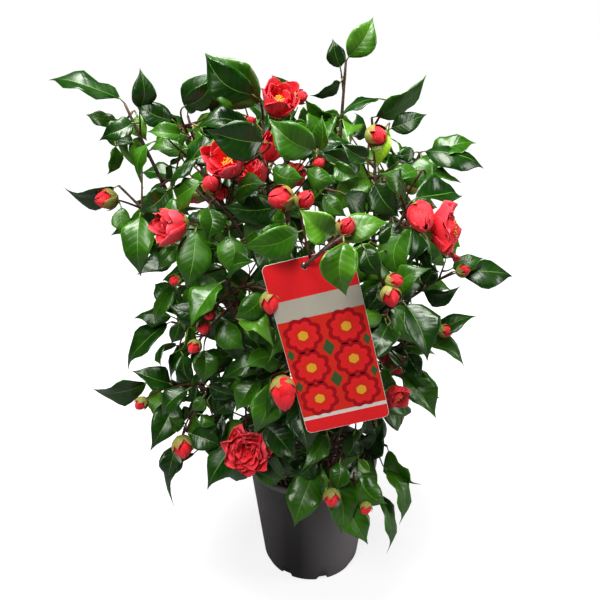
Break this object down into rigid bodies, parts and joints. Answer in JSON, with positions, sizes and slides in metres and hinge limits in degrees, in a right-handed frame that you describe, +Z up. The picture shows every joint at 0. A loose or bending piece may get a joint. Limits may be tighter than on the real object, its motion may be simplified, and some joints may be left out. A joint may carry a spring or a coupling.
{
  "type": "potted flowering shrub",
  "caption": "Bushy evergreen shrub with glossy pointed leaves, frilled red blooms and round buds, in a tapered nursery pot, with a hanging picture card.",
  "frame": {"origin": "middle of the pot's flat underside", "axes": "+Z up along the pot's axis, -Y towards the side the hanging card faces, +X to the right as seen from that side"},
  "size_m": [0.553, 0.4786, 0.751],
  "materials": {
    "pot_plastic": "black moulded plastic, satin",
    "potting_soil": "crumbly dark brown potting compost",
    "bark": "matt brown bark",
    "leaves": "glossy dark green leaves with red blooms",
    "card": "printed plastic card, glossy"
  },
  "bodies": {
    "root": {"pot": "pot_plastic", "soil": "potting_soil", "trunk": "bark", "bough_top": "bark", "foliage_top": "leaves", "bough_top_left": "bark", "foliage_top_left": "leaves", "bough_top_centre": "bark", "foliage_top_centre": "leaves", "bough_top_right": "bark", "foliage_top_right": "leaves", "bough_top_back": "bark", "foliage_top_back": "leaves", "bough_top_centre_left": "bark", "foliage_top_centre_left": "leaves", "bough_upper_left": "bark", "foliage_upper_left": "leaves", "bough_mid_left": "bark", "foliage_mid_left": "leaves", "bough_low_left": "bark", "foliage_low_left": "leaves", "bough_upper_front_left": "bark", "foliage_upper_front_left": "leaves", "bough_mid_front_left": "bark", "foliage_mid_front_left": "leaves", "bough_front": "bark", "foliage_front": "leaves", "bough_upper_front_right": "bark", "foliage_upper_front_right": "leaves", "bough_upper_right": "bark", "foliage_upper_right": "leaves", "bough_right": "bark", "foliage_right": "leaves", "bough_mid_front_right": "bark", "foliage_mid_front_right": "leaves", "bough_low_right": "bark", "foliage_low_right": "leaves", "bough_skirt_right": "bark", "foliage_skirt_right": "leaves", "bough_skirt_front": "bark", "foliage_skirt_front": "leaves", "bough_low_front_left": "bark", "foliage_low_front_left": "leaves", "bough_low_front": "bark", "foliage_low_front": "leaves", "bough_upper_back_left": "bark", "foliage_upper_back_left": "leaves", "bough_upper_back_right": "bark", "foliage_upper_back_right": "leaves", "bough_mid_back_left": "bark", "foliage_mid_back_left": "leaves", "bough_mid_back_right": "bark", "foliage_mid_back_right": "leaves", "bough_mid_back": "bark", "foliage_mid_back": "leaves", "bough_low_back_left": "bark", "foliage_low_back_left": "leaves", "bough_low_back_right": "bark", "foliage_low_back_right": "leaves", "label": "card"}
  },
  "joints": []
}
